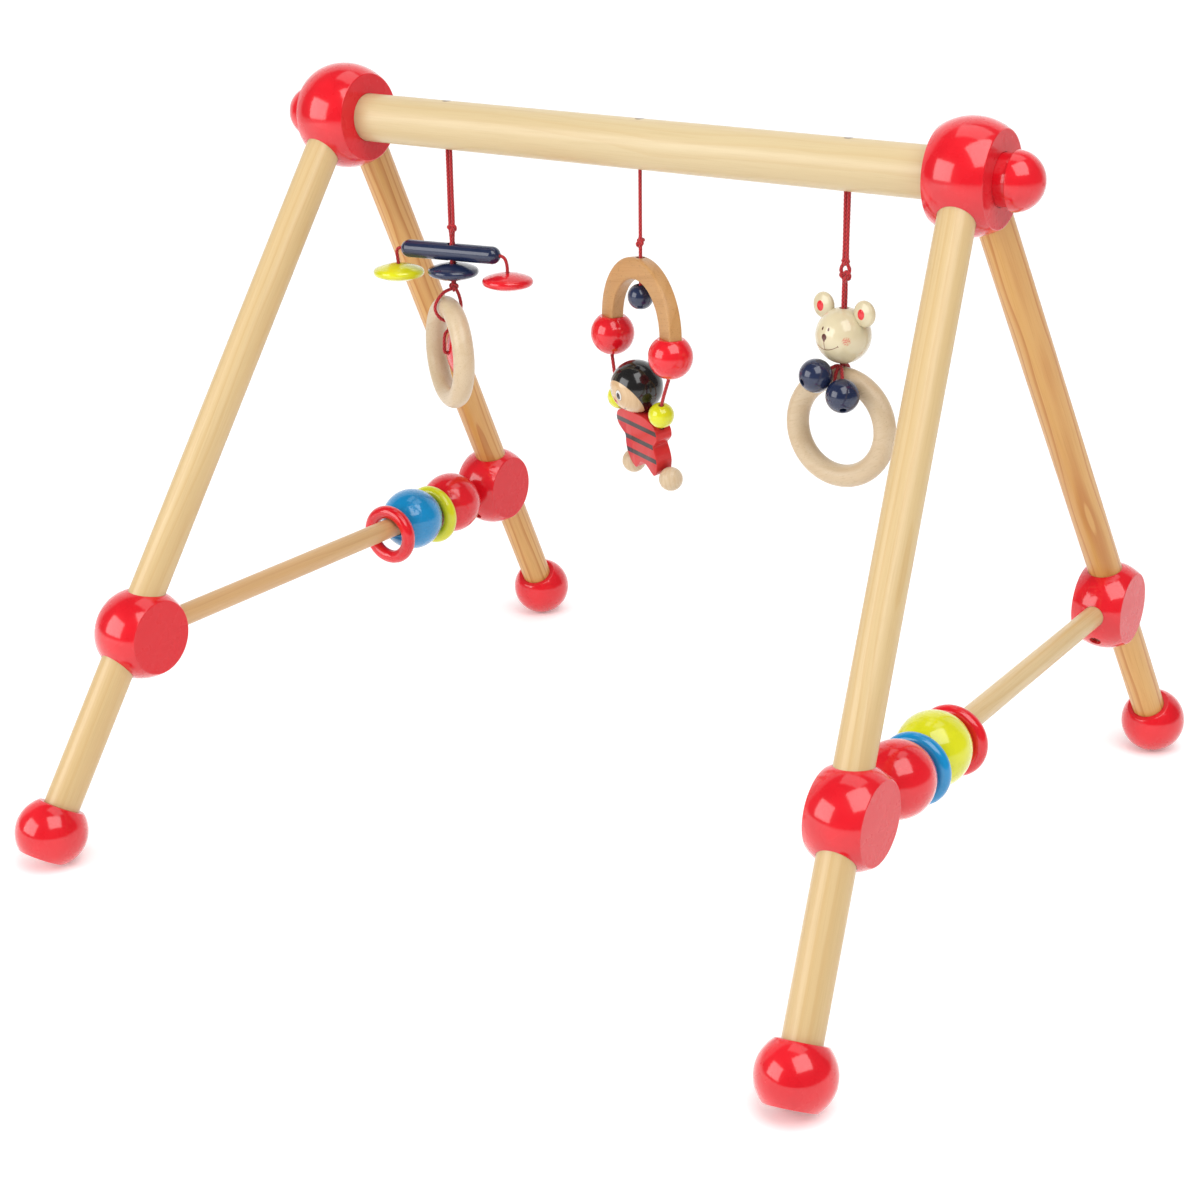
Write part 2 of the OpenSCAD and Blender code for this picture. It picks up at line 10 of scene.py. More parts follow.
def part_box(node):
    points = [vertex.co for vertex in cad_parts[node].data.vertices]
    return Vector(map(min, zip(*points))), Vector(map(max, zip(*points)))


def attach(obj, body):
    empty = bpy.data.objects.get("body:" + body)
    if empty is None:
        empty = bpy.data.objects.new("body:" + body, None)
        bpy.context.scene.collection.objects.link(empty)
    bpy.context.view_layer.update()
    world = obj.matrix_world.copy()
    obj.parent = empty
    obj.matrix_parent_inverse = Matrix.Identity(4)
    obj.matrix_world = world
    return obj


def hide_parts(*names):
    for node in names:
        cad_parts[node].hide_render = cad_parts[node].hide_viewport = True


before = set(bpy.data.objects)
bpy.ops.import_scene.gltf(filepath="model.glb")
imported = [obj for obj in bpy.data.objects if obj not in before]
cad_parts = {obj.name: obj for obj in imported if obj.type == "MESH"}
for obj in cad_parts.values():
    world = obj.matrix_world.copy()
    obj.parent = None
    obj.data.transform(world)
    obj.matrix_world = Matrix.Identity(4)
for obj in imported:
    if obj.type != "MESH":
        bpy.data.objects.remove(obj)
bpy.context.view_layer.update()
MM = 0.001
LEG_LEAN = math.radians(31.5)
LEG_SPREAD = math.radians(6)
# Strands of the braid each way round a cord, and how far along the cord one crossing repeats
STRANDS = 4
BRAID_PITCH = 2.4 * MM

# ---------------------------------------------------------------- camera
CAMERA_AT = (0.69377, -1.07574, 0.61839)
CAMERA_AZIMUTH = math.radians(29.64)
CAMERA_ELEVATION = math.radians(20.35)
CAMERA_ROLL = math.radians(0.73)
CAMERA_LENS = 63.47
CAMERA_SENSOR = 36
CAMERA_SHIFT = -0.1228


def make_camera():
    a, e = CAMERA_AZIMUTH, CAMERA_ELEVATION
    forward = Vector((-math.sin(a) * math.cos(e), math.cos(a) * math.cos(e), -math.sin(e)))
    right = forward.cross(Vector((0, 0, 1))).normalized()
    up = right.cross(forward)
    turn = Matrix.Rotation(-CAMERA_ROLL, 3, forward)
    right, up = turn @ right, turn @ up
    data = bpy.data.cameras.new("camera")
    data.sensor_width = CAMERA_SENSOR
    data.lens = CAMERA_LENS
    data.shift_x = CAMERA_SHIFT
    camera = bpy.data.objects.new("camera", data)
    bpy.context.scene.collection.objects.link(camera)
    turned = Matrix((right, up, -forward)).transposed().to_4x4()
    camera.matrix_world = Matrix.Translation(CAMERA_AT) @ turned
    bpy.context.scene.camera = camera


make_camera()


# ---------------------------------------------------------------- surface values
class Value:
    """A number that varies over a surface, worked out by Math nodes."""

    def __init__(self, surface, socket):
        self.surface = surface
        self.socket = socket

    def _math(self, kind, *others):
        return self.surface.math(kind, self, *others)

    def __add__(self, other):
        return self._math("ADD", other)

    def __sub__(self, other):
        return self._math("SUBTRACT", other)

    def __mul__(self, other):
        return self._math("MULTIPLY", other)

    def __truediv__(self, other):
        return self._math("DIVIDE", other)

    def __abs__(self):
        return self._math("ABSOLUTE")

    def squared(self):
        return self._math("MULTIPLY", self)

    def sine(self):
        return self._math("SINE")

    def at_least(self, other):
        return self._math("MAXIMUM", other)

    def ramp(self, start, end, low=0.0, high=1.0):
        """low before start, high after end, and smooth between them."""
        node = self.surface.node("ShaderNodeMapRange")
        node.interpolation_type = "SMOOTHSTEP"
        self.surface.join(self, node.inputs["Value"])
        node.inputs["From Min"].default_value = start
        node.inputs["From Max"].default_value = end
        node.inputs["To Min"].default_value = low
        node.inputs["To Max"].default_value = high
        return Value(self.surface, node.outputs["Result"])


class Surface:
    """A material in the making. place is where its own coordinates stand in the row frame."""

    def __init__(self, name, place=None):
        self.material = bpy.data.materials.new(name)
        self.material.use_nodes = True
        self.nodes = self.material.node_tree.nodes
        self.links = self.material.node_tree.links
        self.shader = self.nodes["Principled BSDF"]
        source = self.node("ShaderNodeTexCoord")
        self.point = source.outputs["Object"]
        self.facing = source.outputs["Normal"]
        if place is not None:
            self.point = self._placed(self.point, place)
            self.facing = self._placed(self.facing, place.to_3x3().to_4x4())

    def node(self, kind):
        return self.nodes.new(kind)

    def join(self, value, socket):
        if isinstance(value, Value):
            self.links.new(value.socket, socket)
        elif isinstance(value, bpy.types.NodeSocket):
            self.links.new(value, socket)
        else:
            socket.default_value = value

    def _placed(self, socket, place):
        """A vector of the row frame, turned into the coordinates of a place in it."""
        node = self.node("ShaderNodeMapping")
        node.vector_type = "TEXTURE"
        self.links.new(socket, node.inputs["Vector"])
        node.inputs["Location"].default_value = place.to_translation()
        node.inputs["Rotation"].default_value = place.to_euler()
        return node.outputs["Vector"]

    def math(self, kind, first, second=None, third=None):
        node = self.node("ShaderNodeMath")
        node.operation = kind
        self.join(first, node.inputs[0])
        if second is not None:
            self.join(second, node.inputs[1])
        if third is not None:
            self.join(third, node.inputs[2])
        return Value(self, node.outputs[0])

    def axes(self, socket=None):
        """x, y and z, in metres, of the surface's own coordinates, or of another vector."""
        node = self.node("ShaderNodeSeparateXYZ")
        self.links.new(socket or self.point, node.inputs[0])
        return [Value(self, node.outputs[i]) for i in range(3)]

    def noise(self, scale, detail=2.0, roughness=0.5):
        """Noise of about 0 to 1. scale is one number, or three for x, y and z, in waves per metre."""
        node = self.node("ShaderNodeTexNoise")
        spread = scale if isinstance(scale, (tuple, list)) else (scale, scale, scale)
        stretch = self.node("ShaderNodeMapping")
        stretch.inputs["Scale"].default_value = spread
        self.links.new(self.point, stretch.inputs["Vector"])
        self.links.new(stretch.outputs["Vector"], node.inputs["Vector"])
        node.inputs["Scale"].default_value = 1.0
        node.inputs["Detail"].default_value = detail
        node.inputs["Roughness"].default_value = roughness
        return Value(self, node.outputs["Fac"])

    def mix(self, amount, first, second):
        node = self.node("ShaderNodeMix")
        node.data_type = "RGBA"
        self.join(amount, node.inputs["Factor"])
        for colour, socket in ((first, node.inputs["A"]), (second, node.inputs["B"])):
            if isinstance(colour, tuple):
                socket.default_value = (*colour, 1.0)
            else:
                self.links.new(colour, socket)
        return node.outputs["Result"]

    def bump(self, height, depth, strength=1.0):
        """depth is the real height of the relief, in metres."""
        node = self.node("ShaderNodeBump")
        node.inputs["Distance"].default_value = depth
        node.inputs["Strength"].default_value = strength
        self.join(height, node.inputs["Height"])
        last = self.shader.inputs["Normal"]
        if last.links:
            self.links.new(last.links[0].from_socket, node.inputs["Normal"])
        self.links.new(node.outputs["Normal"], last)

    def edges(self, radius):
        """1 on edges and corners and 0 on smooth faces."""
        bevel = self.node("ShaderNodeBevel")
        bevel.samples = 4
        bevel.inputs["Radius"].default_value = radius
        geometry = self.node("ShaderNodeNewGeometry")
        dot = self.node("ShaderNodeVectorMath")
        dot.operation = "DOT_PRODUCT"
        self.links.new(bevel.outputs["Normal"], dot.inputs[0])
        self.links.new(geometry.outputs["Normal"], dot.inputs[1])
        return Value(self, dot.outputs["Value"]).ramp(0.9, 0.999, 1.0, 0.0)

    def set(self, **inputs):
        for name, value in inputs.items():
            socket = self.shader.inputs[name.replace("_", " ")]
            if isinstance(value, tuple):
                socket.default_value = (*value, 1.0) if len(value) == 3 else value
            else:
                self.join(value, socket)


def turned(angle, at=(0, 0, 0), lean=0):
    """A place at a point in mm, turned about Z and then leaning about its own X, in degrees."""
    spot = Matrix.Translation(Vector(at) * MM)
    spin = Matrix.Rotation(math.radians(angle), 4, "Z")
    return spot @ spin @ Matrix.Rotation(math.radians(lean), 4, "X")


# ---------------------------------------------------------------- materials
RED = (0.64, 0.004, 0.012)
YELLOW = (0.60, 0.60, 0.006)
BLUE = (0.0, 0.22, 0.49)
NAVY = (0.011, 0.019, 0.058)
CREAM = (0.609, 0.532, 0.35)
BLACK = (0.0084, 0.0077, 0.0077)
HEAD_RADIUS = 16.5 * MM
COAT = 0.9


def lacquer_coat(surface, roughness=0.28):
    """The clear gloss over a colour: orange peel, and fine grain that shows through."""
    peel = surface.noise(420, 2.0, 0.5)
    dimples = surface.noise(1500, 1.0, 0.5)
    surface.bump(peel, 0.00006, 0.5)
    surface.bump(dimples, 0.000008, 0.5)
    smudge = surface.noise(60, 3.0, 0.6)
    surface.set(Roughness=smudge.ramp(0.3, 0.75, roughness - 0.06, roughness + 0.08))
    surface.set(Coat_Weight=COAT, Coat_Roughness=0.11, Coat_IOR=1.56, Specular_IOR_Level=0.12)


def tinted(surface, colour, light, dark):
    """colour, with slow changes of depth and darker streaks where the wood's grain shows through."""
    cloud = surface.noise(35, 3.0, 0.6)
    grain = surface.noise((900, 900, 60), 3.0, 0.6)
    bright = tuple(c * light + 0.002 for c in colour)
    deep = tuple(c * dark for c in colour)
    shade = surface.mix(cloud.ramp(0.3, 0.7), deep, bright)
    return surface.mix(grain.ramp(0.62, 0.78, 0.0, 0.10), shade, deep)


def lacquer(name, colour, place=None, flat_axis=None, worn=(0.63, 0.175, 0.175)):
    """Glossy coloured lacquer over wood. A flat end, square to flat_axis, is duller end grain with pores, and
    its colour is paled a little towards white as a painted sheen of the bright surroundings.
    """
    surface = Surface(name, place)
    paint = tinted(surface, colour, 1.04, 0.90)
    lacquer_coat(surface)
    paint = surface.mix(surface.edges(0.0007) * 0.16, paint, worn)
    if flat_axis is not None:
        across = abs(surface.axes(surface.facing)[flat_axis])
        flat = across.ramp(0.985, 0.999)
        pores = surface.noise((700, 90, 700), 4.0, 0.7)
        # Painted sheen: the flat end's colour is paled a little towards white for the bright surroundings it
        # reflects; the pores on it are real end grain
        painted_sheen_tone = tuple(c * 0.92 + 0.012 for c in colour)
        pores_on_painted_sheen = surface.mix(pores.ramp(0.35, 0.75), painted_sheen_tone, tuple(c * 0.97 for c in painted_sheen_tone))
        paint = surface.mix(flat, paint, pores_on_painted_sheen)
        surface.bump(pores * flat, 0.00004, 0.6)
        surface.set(Coat_Weight=flat.ramp(0.0, 1.0, COAT, 0.3))
    surface.set(Base_Color=paint)
    return surface.material


def growth_rings(surface, pith, spacing, waver):
    """Position within a growth ring, 0 to 1. pith is where the tree's middle lies, in metres."""
    x, y, _ = surface.axes()
    slow = surface.noise((14, 14, 5), 2.0, 0.5)
    fine = surface.noise((160, 160, 9), 2.0, 0.5)
    from_pith = surface.math("SQRT", (x - pith[0]).squared() + (y - pith[1]).squared())
    distance = from_pith + slow * waver + fine * (waver * 0.10)
    return surface.math("FRACT", distance / spacing)


def timber(name, wood_tones, place, pith, spacing, waver, contrast, flecks=0.0):
    """Clear-lacquered wood with its grain along the place's Z. wood_tones are early and late wood."""
    early, late = wood_tones
    surface = Surface(name, place)
    phase = growth_rings(surface, pith, spacing, waver)
    band = phase.ramp(0.50, 0.94) * phase.ramp(0.95, 1.0, 1.0, 0.0)
    fibre = surface.noise((1400, 1400, 28), 4.0, 0.65)
    streak = surface.noise((220, 220, 7), 3.0, 0.6)
    patch = surface.noise((26, 26, 5), 2.0, 0.5)
    between = tuple(e * 0.72 + l * 0.28 for e, l in zip(early, late))
    base = surface.mix(patch.ramp(0.3, 0.7), early, between)
    wood = surface.mix(band * contrast, base, late)
    wood = surface.mix(streak.ramp(0.5, 0.8, 0.0, 0.30), wood, late)
    wood = surface.mix(fibre.ramp(0.45, 0.8, 0.0, 0.28), wood, tuple(c * 0.80 for c in late))
    if flecks:
        rays = surface.noise((1100, 1100, 330), 1.0, 0.4)
        wood = surface.mix(rays.ramp(0.60, 0.72, 0.0, flecks), wood, tuple(c * 0.62 for c in late))
    surface.bump(fibre, 0.00005, 0.55)
    surface.bump(band, 0.00003, 0.4)
    surface.set(Base_Color=wood)
    surface.set(Roughness=fibre.ramp(0.3, 0.8, 0.34, 0.50))
    surface.set(Coat_Weight=0.25, Coat_Roughness=0.22, Specular_IOR_Level=0.4)
    return surface.material


def spot(across, level, at, size, soft=0.25):
    """1 inside an ellipse, in whatever units across and level have."""
    dx = (across - at[0]) / size[0]
    dz = (level - at[1]) / size[1]
    return (dx.squared() + dz.squared()).ramp(1 - soft, 1 + soft, 1.0, 0.0)


def curved_line(across, level, bottom, rise, half, width):
    """1 on a smile: a line whose height is bottom + rise * across squared."""
    height = level - (across.squared() * rise + bottom)
    on_line = abs(height).ramp(width * 0.6, width * 1.2, 1.0, 0.0)
    return on_line * abs(across).ramp(half * 0.97, half * 1.03, 1.0, 0.0)


def bear_paint():
    """Cream lacquer with painted eyes, nose, smile, cheeks and ears, in the head's own coordinates."""
    surface = Surface("bear_cream")
    x, y, z = surface.axes()
    around = surface.math("ARCTAN2", x, y * -1.0)
    level = z / HEAD_RADIUS
    front = (y * -1.0).ramp(0.0, 0.001)
    paint = tinted(surface, CREAM, 1.03, 0.93)
    lacquer_coat(surface, 0.33)
    brown = (0.091, 0.0196, 0.0126)
    eyes = spot(abs(around), level, (0.150, 0.362), (0.043, 0.062))
    nose = spot(around, level, (0.0, 0.082), (0.115, 0.115), 0.15)
    nose_tip = spot(around, level, (0.0, -0.01), (0.055, 0.08), 0.2)
    stem = abs(around).ramp(0.010, 0.022, 1.0, 0.0) * spot(around, level, (0.0, -0.2), (0.2, 0.18), 0.1)
    smile = curved_line(around, level, -0.375, 0.56, 0.56, 0.016)
    past_end = abs(around) - 0.56
    corner = surface.math("ABSOLUTE", past_end) + abs(level + 0.20 - past_end * 1.4) * 0.9
    on_tick = abs(level + 0.2 + past_end * 1.2).ramp(0.015, 0.03, 1.0, 0.0)
    tick = corner.ramp(0.06, 0.085, 1.0, 0.0) * on_tick
    dots = surface.noise(1300, 1.0, 0.5)
    cheeks = spot(abs(around), level, (0.86, 0.0), (0.15, 0.14), 0.6) * dots.ramp(0.42, 0.60, 0.25, 1.0)
    face = front * (z.ramp(0.0085, 0.0095, 1.0, 0.0))
    ears = spot(abs(x), z, (0.0162, 0.0152), (0.0026, 0.0031), 0.12) * (y * -1.0).ramp(0.0024, 0.0028)
    paint = surface.mix(cheeks * face * 0.75, paint, (0.56, 0.063, 0.049))
    paint = surface.mix((eyes.at_least(nose).at_least(nose_tip)) * front, paint, brown)
    paint = surface.mix(stem.at_least(smile).at_least(tick) * face * 0.9, paint, (0.126, 0.0245, 0.014))
    paint = surface.mix(ears, paint, RED)
    surface.set(Base_Color=paint)
    return surface.material


def doll_head_paint(place):
    """Clear-lacquered wood with a painted black cap, and a small face turned a little to one side."""
    surface = Surface("doll_face", place)
    x, y, z = surface.axes()
    grain = surface.noise((60, 900, 60), 3.0, 0.6)
    skin = surface.mix(grain.ramp(0.3, 0.75), (0.581, 0.406, 0.231), (0.518, 0.329, 0.168))
    lacquer_coat(surface, 0.25)
    face_turn, face_drop = math.radians(4), math.radians(-27)
    level_part = math.cos(face_drop)
    towards = (math.sin(face_turn) * level_part, -math.cos(face_turn) * level_part, math.sin(face_drop))
    facing = (x * towards[0] + y * towards[1] + z * towards[2]) / HEAD_RADIUS
    cap = facing.ramp(math.cos(math.radians(57.6)), math.cos(math.radians(57.0)), 1.0, 0.0)
    around = surface.math("ARCTAN2", x, y * -1.0) + 0.02
    level = z / HEAD_RADIUS
    eye_at = (0.30, 0.0)
    white = spot(abs(around), level, eye_at, (0.135, 0.20), 0.12)
    pupil = spot(abs(around), level, (eye_at[0] - 0.02, eye_at[1] - 0.03), (0.085, 0.135), 0.15)
    rim = spot(abs(around), level, eye_at, (0.158, 0.23), 0.12)
    nose = spot(around, level, (0.0, -0.31), (0.10, 0.10), 0.2)
    smile = curved_line(around, level, -0.68, 0.75, 0.38, 0.032)
    paint = surface.mix(nose, skin, (0.434, 0.035, 0.028))
    paint = surface.mix(smile * 0.9, paint, (0.07, 0.028, 0.021))
    paint = surface.mix(rim * 0.6, paint, (0.21, 0.112, 0.07))
    paint = surface.mix(white, paint, (0.595, 0.588, 0.56))
    paint = surface.mix(pupil, paint, (0.035, 0.028, 0.028))
    front = (y * -1.0).ramp(0.0, 0.001)
    paint = surface.mix(front, skin, paint)
    paint = surface.mix(cap, paint, BLACK)
    surface.bump(cap, 0.00008, 0.8)
    surface.set(Base_Color=paint)
    return surface.material


def doll_body_paint():
    """Red lacquer with three dark stripes printed over the front and the back, in the body's coordinates."""
    surface = Surface("striped_red")
    z = surface.axes()[2]
    faces = abs(surface.axes(surface.facing)[1]).ramp(0.90, 0.97)
    paint = tinted(surface, (0.518, 0.021, 0.021), 1.05, 0.92)
    lacquer_coat(surface, 0.36)
    surface.set(Coat_Weight=0.25)
    stripes = None
    for top, bottom in ((-0.0100, -0.0134), (-0.0205, -0.0239), (-0.0300, -0.0334)):
        band = z.ramp(bottom - 0.00006, bottom + 0.00006) * z.ramp(top - 0.00006, top + 0.00006, 1.0, 0.0)
        stripes = band if stripes is None else stripes.at_least(band)
    edge = surface.noise(900, 2.0, 0.5)
    paint = surface.mix(stripes * faces * edge.ramp(0.2, 0.5, 0.90, 1.0), paint, (0.0434, 0.0294, 0.0294))
    surface.bump(stripes * faces, 0.00003, 0.6)
    surface.set(Base_Color=paint)
    return surface.material


def braid():
    """Red braided cord: the piece's UV runs once round the cord and, in metres, along it. The hollows between
    the strands are painted dark red as shade.
    """
    surface = Surface("red_braid")
    source = surface.node("ShaderNodeUVMap")
    source.uv_map = "braid"
    u, v, _ = surface.axes(source.outputs["UV"])
    first = surface.math("FRACT", u * STRANDS + v / BRAID_PITCH)
    second = surface.math("FRACT", u * STRANDS - v / BRAID_PITCH + 40.0)
    pillow = (first * math.pi).sine() * (second * math.pi).sine()
    thread = ((first - second) * 28.0).sine()
    # Painted shade: 0 in the hollows between strands, which get the dark red, and 1 on the strands' crowns,
    # which keep the lighter red
    painted_hollow_shade = pillow.ramp(0.05, 0.45)
    fuzz = surface.noise(4200, 2.0, 0.6)
    paint = surface.mix(painted_hollow_shade, (0.154, 0.0028, 0.0056), (0.504, 0.0154, 0.021))
    paint = surface.mix(fuzz.ramp(0.5, 0.8, 0.0, 0.35), paint, (0.63, 0.07, 0.07))
    surface.bump(pillow, 0.00018, 0.8)
    surface.bump(thread, 0.00003, 0.4)
    surface.set(Base_Color=paint, Roughness=fuzz.ramp(0.2, 0.8, 0.55, 0.8))
    surface.set(Specular_IOR_Level=0.25, Sheen_Weight=0.35, Sheen_Roughness=0.5)
    return surface.material


def steel(name, place=None):
    """Yellow-passivated steel with fine turning marks."""
    surface = Surface(name, place)
    marks = surface.noise((3000, 3000, 3000), 2.0, 0.6)
    tint = surface.noise(500, 2.0, 0.5)
    paint = surface.mix(tint.ramp(0.3, 0.7), (0.462, 0.406, 0.28), (0.504, 0.434, 0.35))
    surface.bump(marks, 0.00001, 0.5)
    surface.set(Base_Color=paint, Roughness=marks.ramp(0.3, 0.7, 0.24, 0.36), Metallic=1.0)
    return surface.material


# ---------------------------------------------------------------- mesh making
ROUTE_STEP = 0.4 * MM


def piece(name, verts, faces, material, smooth=True):
    mesh = bpy.data.meshes.new(name)
    mesh.from_pydata([tuple(v) for v in verts], [], faces)
    mesh.polygons.foreach_set("use_smooth", [smooth] * len(mesh.polygons))
    mesh.update()
    made = bpy.data.objects.new(name, mesh)
    bpy.context.scene.collection.objects.link(made)
    if material is not None:
        mesh.materials.append(material)
    return made


def tidy_normals(made, angle=35):
    """Faces turn outwards, and shading breaks only at edges sharper than angle."""
    work = bmesh.new()
    work.from_mesh(made.data)
    bmesh.ops.remove_doubles(work, verts=work.verts, dist=1e-7)
    bmesh.ops.recalc_face_normals(work, faces=work.faces)
    for edge in work.edges:
        edge.smooth = len(edge.link_faces) == 2 and edge.calc_face_angle(0) < math.radians(angle)
    for face in work.faces:
        face.smooth = True
    work.to_mesh(made.data)
    work.free()
    made.data.update()


def bake(made):
    """Applies every modifier on a piece to its mesh."""
    bpy.context.view_layer.update()
    seen = made.evaluated_get(bpy.context.evaluated_depsgraph_get())
    done = bpy.data.meshes.new_from_object(seen)
    made.modifiers.clear()
    old = made.data
    made.data = done
    bpy.data.meshes.remove(old)


def lathe(outline, segments=64, closed=False):
    """Turns (radius, height) points about Z. closed joins the last point to the first."""
    verts = []
    faces = []
    rings = []
    for radius, height in outline:
        if radius < 1e-9:
            rings.append([len(verts)])
            verts.append(Vector((0, 0, height)))
            continue
        rings.append(list(range(len(verts), len(verts) + segments)))
        for k in range(segments):
            a = 2 * math.pi * k / segments
            verts.append(Vector((radius * math.cos(a), radius * math.sin(a), height)))
    pairs = list(zip(rings, rings[1:]))
    if closed:
        pairs.append((rings[-1], rings[0]))
    for low, high in pairs:
        for k in range(segments):
            n = (k + 1) % segments
            corners = [low[k % len(low)], low[n % len(low)], high[n % len(high)], high[k % len(high)]]
            face = list(dict.fromkeys(corners))
            if len(face) > 2:
                faces.append(face)
    return verts, faces


def arc(centre, radius, start, end, steps):
    """Points of an arc in the (radius, height) plane, angles in degrees."""
    points = []
    for i in range(steps + 1):
        a = math.radians(start + (end - start) * i / steps)
        points.append((centre[0] + radius * math.cos(a), centre[1] + radius * math.sin(a)))
    return points


def ball_outline(diameter, bore, mouth):
    """A ball with a bore along Z and softly rounded mouths, in metres."""
    radius = diameter / 2
    lip = bore + mouth
    level = math.sqrt((radius - mouth) ** 2 - lip**2)
    lift = math.degrees(math.atan2(level, lip))
    upper = arc((lip, level), mouth, lift, 180, 6)
    lower = arc((lip, -level), mouth, 180, 360 - lift, 6)
    outer = arc((0, 0), radius, -lift, lift, 40)
    return outer[1:-1] + upper + lower


def smooth_route(points):
    """A soft curve through the points, with samples close together."""
    knots = [Vector(p) for p in points]
    dense = []
    for i in range(len(knots) - 1):
        a, b = knots[i], knots[i + 1]
        before = knots[i - 1] if i else a - (b - a)
        after = knots[i + 2] if i + 2 < len(knots) else b + (b - a)
        length = (b - a).length
        tension_a = (b - before).normalized() * length
        tension_b = (after - a).normalized() * length
        count = max(2, int(length / ROUTE_STEP))
        for k in range(count):
            t = k / count
            h0 = 2 * t**3 - 3 * t**2 + 1
            h1 = t**3 - 2 * t**2 + t
            h2 = -2 * t**3 + 3 * t**2
            h3 = t**3 - t**2
            dense.append(a * h0 + tension_a * h1 + b * h2 + tension_b * h3)
    dense.append(knots[-1])
    return dense


def frames_along(route):
    """Two directions square to the route at each point, which don't twist."""
    last = len(route) - 1
    ahead = [(route[min(i + 1, last)] - route[max(i - 1, 0)]).normalized() for i in range(last + 1)]
    side = ahead[0].orthogonal().normalized()
    out = []
    for along in ahead:
        side = (side - along * side.dot(along)).normalized()
        out.append((side, along.cross(side)))
    return out


def rope(name, route, diameter, material, sides=16, relief=0.05):
    """A braided tube along a dense route, with its relief in the mesh and a UV that follows it."""
    radius = diameter / 2
    verts = []
    lengths = [0.0]
    for a, b in zip(route, route[1:]):
        lengths.append(lengths[-1] + (b - a).length)
    for point, (side, other), far in zip(route, frames_along(route), lengths):
        for k in range(sides):
            u = k / sides
            first = math.sin(math.pi * ((u * STRANDS + far / BRAID_PITCH) % 1))
            second = math.sin(math.pi * ((u * STRANDS - far / BRAID_PITCH) % 1))
            grown = radius * (1 - relief + 2 * relief * first * second)
            a = 2 * math.pi * u
            verts.append(point + side * (grown * math.cos(a)) + other * (grown * math.sin(a)))
    faces = []
    charts = []
    for i in range(len(route) - 1):
        for k in range(sides):
            n = (k + 1) % sides
            faces.append([i * sides + k, i * sides + n, (i + 1) * sides + n, (i + 1) * sides + k])
            low, high = k / sides, (k + 1) / sides
            near, far = lengths[i], lengths[i + 1]
            charts.append([(low, near), (high, near), (high, far), (low, far)])
    last = (len(route) - 1) * sides
    for cap in (list(range(sides))[::-1], [last + k for k in range(sides)]):
        faces.append(cap)
        charts.append([(k / sides, 0.0) for k in range(sides)])
    made = piece(name, verts, faces, material)
    chart = made.data.uv_layers.new(name="braid")
    flat = [number for face in charts for corner in face for number in corner]
    chart.data.foreach_set("uv", flat)
    return made


# ---------------------------------------------------------------- cords
CORD_D = 2.2 * MM
# How far each strand of a doubled cord lies from its middle, in mm
OFF = 1.15
LEFT_X, MIDDLE_X, RIGHT_X = -138.7, 4.0, 143.7
BRAID = braid()


def hang(x, turn):
    """The place of a toy's own coordinates: under the crossbar at x, turned about its cord."""
    return turned(turn, (x, 0, 0))


def in_place(points, place):
    return [place @ (Vector(p) * MM) for p in points]


SPINNER_ROUTE = [
    (0, OFF, 332), (0, OFF, 345), (0, 2, 349.5), (0, 2, 357), (0, OFF, 361.5), (OFF, 0, 369),
    (OFF, 0, 400), (OFF, 0, 419), (0.8, 0, 421), (-0.8, 0, 421), (-OFF, 0, 419), (-OFF, 0, 400),
    (-OFF, 0, 369), (0, -OFF, 361.5), (0, -2, 357), (0, -2, 349.5), (0, -OFF, 345), (0, -OFF, 332)]
DISC_ROUTE = [
    (-39.5, 0, 333.4), (-39.5, 0, 343), (-40, 0, 347.5), (-40.3, 0, 351), (-39.4, 0, 353.2),
    (-37, 0, 354), (-10, 0, 354), (10, 0, 354), (34, 0, 354), (36.4, 0, 352.9), (37.6, 0, 351),
    (38.4, 0, 347.5), (38.5, 0, 343), (38.5, 0, 333.4)]
RING_LOOP_ROUTE = [
    (0, -1.2, 330.5), (-0.4, -7, 328), (-0.9, -11.8, 322), (-1.2, -12.6, 317), (-1.2, -9.6, 311.5),
    (-0.8, -4.8, 308.6), (-0.3, -3.2, 305.5), (0, -7, 301), (0, -8, 292.5), (0, -7.9, 290),
    (0, -7.1, 288.8), (0, -5.8, 288.5), (0, 5.8, 288.5), (0, 7.1, 288.8), (0, 7.9, 290), (0, 8, 292.5),
    (0, 7, 301), (-0.3, 1.4, 305.8), (-0.8, -0.2, 309.2), (-1.2, 3.3, 313), (-1.2, 4.7, 318.5),
    (-0.8, 3.6, 325), (0, 1.2, 330.5)]
ACROBAT_ROUTE = [
    (OFF, 0, 337.4), (OFF, 0, 375), (OFF, 0, 419), (0.8, 0, 421), (-0.8, 0, 421), (-OFF, 0, 419),
    (-OFF, 0, 375), (-OFF, 0, 337.4)]
DOLL_LEAN = 11
DOLL_RISE = 25.25
HALF_ARM = [
    (36.25, DOLL_RISE * math.sin(math.radians(DOLL_LEAN)), DOLL_RISE * math.cos(math.radians(DOLL_LEAN)) + 1),
    (28.8, 0.4, 8), (26, 0, 0), (23.6, 0, -7.4), (22.5, 0, -9.8), (11.25, 0, -12.9), (0, 0, -16)]
ARM_ROUTE = HALF_ARM + [(-x, y, z) for x, y, z in HALF_ARM[-2::-1]]
BEAR_ROUTE = [
    (0, -0.1, 301.7), (0, -6.1, 304.2), (0, -8.6, 310.25), (0, -6.1, 316.3), (0, -OFF, 318.8),
    (0, -OFF, 366), (OFF, 0, 370), (2.8, 0, 374), (OFF, 0, 378.5), (OFF, 0, 419), (0.8, 0, 421),
    (-0.8, 0, 421), (-OFF, 0, 419), (-OFF, 0, 378.5), (-2.8, 0, 374), (-OFF, 0, 370), (0, OFF, 366),
    (0, OFF, 318.8), (0, 6.1, 316.3), (0, 8.6, 310.25), (0, 6.1, 304.2), (0, 0.1, 301.7)]
PAW_ROUTE = [
    (-10.6, -20.2, 313), (-8.5, -17.2, 314), (-3.5, -8.6, 317.2), (0, -4.4, 318.2), (4, -8.4, 315),
    (9.5, -17.6, 304.5), (11.1, -19.6, 301.9)]

